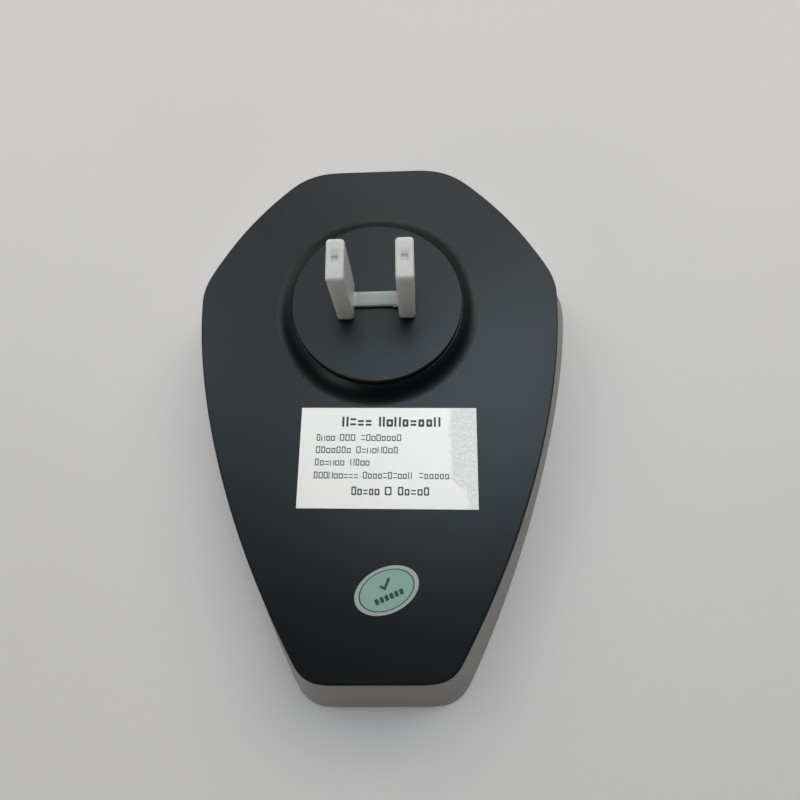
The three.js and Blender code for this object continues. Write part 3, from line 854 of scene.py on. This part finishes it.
rating = {
    "width": 35.4,
    "height": 20.3,
    "turn": -1.3,
    "thick": 0.1,
    "crinkleFrom": (12.7, 15.7),  # where the crinkled strip starts, above and below crinkleStep
    "crinkleStep": -5.6,
    "crinkleHigh": 0.09,
    "mesh": (1.4, 0.16, 0.2),  # steps across the plain part, across the strip, and along both
    "inkLift": 0.012,
    "ink": ((0.050, 0.049, 0.048), 0.19),  # colour and stroke
    "boldInk": ((0.035, 0.035, 0.035), 0.27),
    "titleInk": ((0.022, 0.022, 0.023), 0.42),
}
# Lines of blank word marks: middle height, letter height, and where each word starts and ends.
ratingLines = (
    (7.0, 1.55, "titleInk", ((-9.5, -3.2), (-2.1, 10.6))),
    (3.8, 1.05, "ink", ((-14.5, -10.6), (-9.8, -6.5), (-5.5, 2.7))),
    (1.3, 1.05, "ink", ((-14.5, -7.3), (-6.4, 2.1))),
    (-1.2, 1.05, "ink", ((-14.6, -8.5), (-7.5, -3.5))),
    (-3.8, 1.05, "ink", ((-14.7, -5.7), (-4.9, 4.9), (6.1, 12.2))),
    (-6.9, 1.25, "boldInk", ((-7.1, -1.4), (-0.7, 1.1), (2.0, 8.3))),
)


def labelLook():
    material, tree, shader, coordinates = startMaterial("ratingPaper")
    grain = useGroup(tree, mouldGrain, coordinates, Scale=1400, PatchScale=60)
    split = place(tree, "ShaderNodeSeparateXYZ")
    wire(tree, coordinates, split.inputs[0])
    center = labelFrame("rating_label")[0] * mm
    above, below = (center.x + x * mm for x in rating["crinkleFrom"])
    step = center.y + rating["crinkleStep"] * mm
    start = rangeNode(tree, split.outputs["Y"], step - 0.0012, step + 0.0008, below, above)
    wander = mathNode(tree, "MULTIPLY", noiseNode(tree, coordinates, 620, 5.0, 0.7), 0.0042)
    across = mathNode(tree, "SUBTRACT", mathNode(tree, "ADD", split.outputs["X"], wander), start)
    crinkled = rangeNode(tree, across, 0.0018, 0.0021)
    stretch = place(tree, "ShaderNodeVectorMath", operation="MULTIPLY")
    wire(tree, coordinates, stretch.inputs[0])
    stretch.inputs[1].default_value = (1.0, 0.05, 1.0)
    brushed = noiseNode(tree, stretch.outputs[0], 3000, 2.0, 0.6)
    tone = mathNode(tree, "ADD", mathNode(tree, "MULTIPLY", brushed, 0.5), grain.outputs["Patches"])
    paper = mixColor(tree, rangeNode(tree, tone, 0.2, 1.3), (0.93, 0.895, 0.845), (0.97, 0.935, 0.885))
    flakes = rangeNode(tree, noiseNode(tree, coordinates, 2600, 4.0, 0.7), 0.44, 0.56)
    foil = mixColor(tree, flakes, (0.88, 0.86, 0.81), (1.0, 1.0, 0.98))
    wire(tree, mixColor(tree, crinkled, paper, foil), shader.inputs["Base Color"])
    wire(tree, rangeNode(tree, crinkled, 0, 1, 0.45, 0.28), shader.inputs["Roughness"])
    wire(tree, rangeNode(tree, crinkled, 0, 1, 0.24, 0.04), shader.inputs["Metallic"])
    fleck = mathNode(tree, "MULTIPLY", mathNode(tree, "MULTIPLY", flakes, crinkled), 0.8)
    height = mathNode(tree, "ADD", mathNode(tree, "MULTIPLY", brushed, 0.35), fleck)
    addBump(tree, shader, height, 0.5, 0.05)
    return material


def inkLook(name, color):
    material, tree, shader, coordinates = startMaterial(name)
    grain = useGroup(tree, mouldGrain, coordinates, Scale=2400, PatchScale=400)
    lighter = tuple(c * 1.5 for c in color)
    wire(tree, mixColor(tree, grain.outputs["Patches"], color, lighter), shader.inputs["Base Color"])
    wire(tree, rangeNode(tree, grain.outputs["Patches"], 0, 1, 0.4, 0.55), shader.inputs["Roughness"])
    addBump(tree, shader, grain.outputs["Height"], 0.2, 0.01)
    return material


def labelFrame(node):
    low, high = boxOf(node)
    center = Vector(((low.x + high.x) / 2, (low.y + high.y) / 2, 0))
    return center, low.z


def onLabel(points, center, turn, z):
    c, s = math.cos(turn), math.sin(turn)
    return [(center.x + x * c - y * s, center.y + x * s + y * c, z) for x, y in points]


def liftedOnLabel(ring, center, turn, top):
    # A flat ring of a printed mark, moved to its place; its own height counts from the label's top.
    return onLabel([(x, y) for x, y, _ in ring], center, turn, top + ring[0][2])


def crinkleAt(x, y):
    # How far the film stands up: creased cells inside the strip, nothing outside it.
    above, below = rating["crinkleFrom"]
    step = min(max((y - rating["crinkleStep"] + 1.2) / 2.0, 0), 1)
    start = below + (above - below) * step + 0.7 * noise.noise(Vector((y * 0.9, 3.7, 0)))
    inside = min(max((x - start) / 0.6, 0), 1)
    if not inside:
        return 0.0
    near, second = noise.voronoi(Vector((x * 1.5, y * 1.5, 0)))[0][:2]
    crease = 0.75 * min(second - near, 1) + 0.25 * noise.cell(Vector((x, y, 0)) * 3)
    return inside * rating["crinkleHigh"] * crease


def stepsBetween(low, high, step):
    count = max(1, round((high - low) / step))
    return [low + (high - low) * i / count for i in range(count)]


def blankLetter(kind, spot, wide, tall, stroke):
    # A mark that stands for a letter: mostly a hollow box, now and then a pair of strokes.
    x, y = spot
    lift = rating["inkLift"]
    if kind > 1:
        levels = ((0, 0.002), (0, lift), (stroke, lift), (stroke, 0.002))
        return [([roundedRing(wide - 2 * inset, tall - 2 * inset, 0.16 * wide, z, spot, 2)
                  for inset, z in levels], True)]
    if kind == 1:
        boxes = [(x + way * (wide - stroke) / 2, y, stroke, tall) for way in (-1, 1)]
    else:
        boxes = [(x, y + way * (tall - stroke) / 3, wide, stroke) for way in (-1, 1)]
    return [([roundedRing(w, h, 0.2 * stroke, z, (cx, cy), 2) for z in (0.002, lift)], False)
            for cx, cy, w, h in boxes]


def buildLabel():
    center, bottom = labelFrame("rating_label")
    turn = math.radians(rating["turn"])
    top = bottom + rating["thick"]
    halfX, halfY = rating["width"] / 2, rating["height"] / 2
    strip = rating["crinkleFrom"][0] - 1
    coarse, fine, row = rating["mesh"]
    columns = stepsBetween(-halfX, strip, coarse) + stepsBetween(strip, halfX, fine) + [halfX]
    rows = stepsBetween(-halfY, halfY, row) + [halfY]
    vertices = []
    for y in rows:
        for x in columns:
            lift = 0.3 * crinkleAt(x, y) if y in (-halfY, halfY) or x == halfX else crinkleAt(x, y)
            vertices += onLabel([(x, y)], center, turn, top + lift)
    wide, tall = len(columns), len(rows)
    faces = [(r * wide + c, r * wide + c + 1, (r + 1) * wide + c + 1, (r + 1) * wide + c)
             for r in range(tall - 1) for c in range(wide - 1)]
    border = list(range(wide)) + [r * wide + wide - 1 for r in range(1, tall)]
    border += [(tall - 1) * wide + c for c in range(wide - 2, -1, -1)]
    border += [r * wide for r in range(tall - 2, 0, -1)]
    first, count = len(vertices), len(border)
    vertices += [(vertices[i][0], vertices[i][1], bottom) for i in border]
    for i in range(count):
        j = (i + 1) % count
        faces.append((border[i], first + i, first + j, border[j]))
    faces.append(tuple(first + i for i in range(count)))
    piece = meshObject("ratingLabel", vertices, faces)
    dressed(smoothed(piece, 20), "foil_paper", "housing", ["rating_label"], labelLook())

    dice = random.Random(7)
    for ink, name in (("titleInk", "titlePrint"), ("boldInk", "originPrint"), ("ink", "ratingPrint")):
        color, stroke = rating[ink]
        vertices, faces = [], []
        for middle, letter, lineInk, words in ratingLines:
            if lineInk != ink:
                continue
            for left, right in words:
                count = max(1, round((right - left) / (letter * 0.98)))
                pitch = (right - left) / count
                for i in range(count):
                    tall = letter * (1.34 if i == 0 else dice.choice((1, 1, 1, 1.3)))
                    wide = pitch * dice.choice((0.84, 0.8, 0.74))
                    spot = (left + (i + 0.5) * pitch, middle + (tall - letter) / 2)
                    for flat, hollow in blankLetter(dice.randrange(7), spot, wide, tall, stroke):
                        rings = [liftedOnLabel(ring, center, turn, top) for ring in flat]
                        more, quads = bridged(rings, loop=hollow, capStart=not hollow, capEnd=not hollow)
                        faces += [tuple(k + len(vertices) for k in quad) for quad in quads]
                        vertices += more
        marks = meshObject(name, vertices, faces)
        dressed(marks, "foil_paper", "housing", [], inkLook(name, color))


sticker = {
    "halfLong": 6.3,
    "halfShort": 4.1,
    "turn": 22,
    "thick": 0.1,
    "border": (0.38, 0.44, 0.41),
    "line": (0.010, 0.045, 0.032),
    "field": (0.265, 0.43, 0.355),
    "lineAt": (0.865, 0.825),  # the line's outside and inside, as shares of the sticker
    "ink": (0.002, 0.012),  # foot and top of the printed marks
}


def stickerLook(name, color, rough=0.38):
    return solidLook(name, {"color": color, "color2": tuple(c * 1.06 for c in color), "rough": rough,
                            "grain": 1500, "bump": 0.15, "depth": 0.02, "wear": 0.0, "dust": 0.01,
                            "patch": 90})


def buildSticker():
    center, bottom = labelFrame("inspection_sticker")
    turn = math.radians(sticker["turn"])
    count = 96
    top = bottom + sticker["thick"]

    def ellipse(scale, z):
        turns = [2 * math.pi * i / count for i in range(count)]
        long, short = sticker["halfLong"] * scale, sticker["halfShort"] * scale
        flat = [(long * math.cos(a), short * math.sin(a)) for a in turns]
        return onLabel(flat, center, turn, z)

    outer, inner = sticker["lineAt"]
    rings = [ellipse(1, bottom), ellipse(1, top - 0.02), ellipse(0.996, top), ellipse(outer, top),
             ellipse(inner, top), ellipse(0.4, top)]
    piece = meshObject("inspectionSticker", *bridged(rings, capStart=True, capEnd=True))
    dressed(smoothed(piece), "mint_paper", "housing", ["inspection_sticker"],
            stickerLook("stickerBorder", sticker["border"]))
    piece.data.materials.append(stickerLook("stickerLine", sticker["line"]))
    piece.data.materials.append(stickerLook("stickerField", sticker["field"]))
    for face in piece.data.polygons:
        spot = face.center / mm
        x, y = spot.x - center.x, spot.y - center.y
        c, s = math.cos(-turn), math.sin(-turn)
        u, v = (x * c - y * s) / sticker["halfLong"], (x * s + y * c) / sticker["halfShort"]
        reach = math.hypot(u, v)
        if face.normal.z > 0.9 and reach < outer:
            face.material_index = 1 if reach > inner else 2

    tick = [(-1.15, 0.1), (-0.8, 0.45), (-0.3, -0.1), (0.95, 1.2), (1.3, 0.85), (-0.3, -0.8)]
    placed = [(x + 0.1, y + 0.85) for x, y in tick]
    rings = [onLabel(placed, center, turn, top + up) for up in sticker["ink"]]
    mark = meshObject("stickerTick", *bridged(rings, capStart=True, capEnd=True))
    dressed(mark, "mint_paper", "housing", [], inkLook("tickInk", sticker["line"]))
    vertices, faces = [], []
    for i in range(6):
        ring = [(x + 0.98 * (i - 2.5), y - 1.25) for x, y, _ in roundedRing(0.72, 1.05, 0.22, 0, steps=3)]
        rings = [onLabel(ring, center, turn, top + up) for up in sticker["ink"]]
        more, quads = bridged(rings, capStart=True, capEnd=True)
        faces += [tuple(k + len(vertices) for k in quad) for quad in quads]
        vertices += more
    mark = meshObject("stickerBlocks", vertices, faces)
    dressed(mark, "mint_paper", "housing", [], inkLook("blockInk", sticker["line"]))


buildLabel()
buildSticker()
print("stage: labels")


# Inner parts


def boardLook():
    material, tree, shader, coordinates = startMaterial("board_laminate")
    grain = useGroup(tree, mouldGrain, coordinates, Scale=1600, PatchScale=120)
    tracks = place(tree, "ShaderNodeTexBrick")
    wire(tree, coordinates, tracks.inputs["Vector"])
    tracks.inputs["Scale"].default_value = 160
    tracks.inputs["Mortar Size"].default_value = 0.03
    mask = rangeNode(tree, tracks.outputs["Fac"], 0.2, 0.8)
    lacquer = mixColor(tree, grain.outputs["Patches"], (0.012, 0.10, 0.035), (0.018, 0.13, 0.05))
    wire(tree, mixColor(tree, mask, lacquer, (0.03, 0.2, 0.08)), shader.inputs["Base Color"])
    shader.inputs["Roughness"].default_value = 0.32
    addBump(tree, shader, mask, 0.4, 0.04)
    return material


def windingLook():
    material, tree, shader, coordinates = startMaterial("copper_wire")
    turns = place(tree, "ShaderNodeTexWave", bands_direction="Y", wave_profile="SIN")
    wire(tree, coordinates, turns.inputs["Vector"])
    turns.inputs["Scale"].default_value = 900
    turns.inputs["Distortion"].default_value = 0.6
    turns.inputs["Detail Scale"].default_value = 2.0
    copper = mixColor(tree, turns.outputs["Fac"], (0.28, 0.10, 0.035), (0.66, 0.30, 0.13))
    wire(tree, copper, shader.inputs["Base Color"])
    wire(tree, rangeNode(tree, turns.outputs["Fac"], 0, 1, 0.45, 0.25), shader.inputs["Roughness"])
    shader.inputs["Metallic"].default_value = 0.9
    addBump(tree, shader, turns.outputs["Fac"], 0.9, 0.15)
    return material


looks["board_laminate"] = boardLook()
looks["copper_wire"] = windingLook()
slotOf = {part["node"]: part["material_slot"] for part in frame["record"]["subparts"]}
for node, piece in frame["nodes"].items():
    if piece.hide_render:
        continue
    piece.data.materials.clear()
    piece.data.materials.append(looks[slotOf[node]])
print("stage: inner parts")


# Floor and light

studio = {
    "floorRadius": 900,
    "floorColor": ((0.79, 0.755, 0.728), (0.81, 0.775, 0.748)),
    "backdrop": (0.42, 0.424, 0.426),
    "room": (0.004, 0.004, 0.004),
    "backdropTop": (0.05, 0.42),  # where the backdrop starts and ends its fade, as sine of height
    "reach": 1.3,
    "cool": (0.84, 0.92, 1.0),
    "warm": (1.0, 0.98, 0.94),
}
# Each soft panel: height angle, turn from the wide end towards +X, width, watts and tint.
panels = {
    "topFar": (79, 0, 0.4, 1.5, "cool"),
    "highFar": (68, 0, 0.5, 0.5, "cool"),
    "highFarRight": (68, 35, 0.5, 2.5, "cool"),
    "highRight": (68, 80, 0.5, 0.2, "cool"),
    "highFarLeft": (68, -35, 0.5, 0.6, "cool"),
    "upperRight": (56, 60, 0.5, 0.4, "cool"),
    "upperLeft": (56, -60, 0.5, 1.3, "cool"),
    "midFar": (42, 0, 0.7, 2.6, "warm"),
    "midFarRight": (42, 45, 0.7, 3.4, "warm"),
    "midFarLeft": (42, -45, 0.7, 1.8, "warm"),
    "lowNearLeft": (20, -135, 0.7, 1.6, "warm"),
    "lowFarLeft": (20, -45, 0.7, 0.7, "warm"),
}


def buildFloor():
    ring = circleRing(studio["floorRadius"], 0, 128)
    floor = meshObject("floor", ring, [tuple(range(len(ring)))])
    floor.location.z = cadBox[0].z - 0.00002
    material, tree, shader, coordinates = startMaterial("floorPaint")
    grain = useGroup(tree, mouldGrain, coordinates, Scale=700, PatchScale=9)
    low, high = studio["floorColor"]
    wire(tree, mixColor(tree, grain.outputs["Patches"], low, high), shader.inputs["Base Color"])
    shader.inputs["Roughness"].default_value = 0.5
    addBump(tree, shader, grain.outputs["Height"], 0.12, 0.05)
    floor.data.materials.append(material)


def addPanel(name, height, turn, width, power, tint):
    data = bpy.data.lights.new(name, "AREA")
    data.shape = "DISK"
    data.size = width
    data.energy = power
    data.color = studio[tint]
    lamp = bpy.data.objects.new(name, data)
    up, around = math.radians(height), math.radians(turn)
    level = studio["reach"] * math.cos(up)
    lamp.location = (level * math.sin(around), level * math.cos(around), studio["reach"] * math.sin(up))
    lamp.rotation_euler = (-lamp.location).to_track_quat("-Z", "Y").to_euler()
    bpy.context.scene.collection.objects.link(lamp)


def buildWorld():
    # A pale backdrop up to the top of its curve, and a dim room above it.
    world = bpy.data.worlds.new("studio")
    world.use_nodes = True
    tree = world.node_tree
    split = place(tree, "ShaderNodeSeparateXYZ")
    wire(tree, place(tree, "ShaderNodeTexCoord").outputs["Generated"], split.inputs[0])
    above = rangeNode(tree, split.outputs["Z"], *studio["backdropTop"])
    tone = mixColor(tree, above, studio["backdrop"], studio["room"])
    wire(tree, tone, tree.nodes["Background"].inputs["Color"])
    bpy.context.scene.world = world


buildFloor()
for name, panel in panels.items():
    addPanel(name, *panel)
buildWorld()
bpy.context.scene.view_settings.view_transform = "Standard"
print("stage: floor and light")
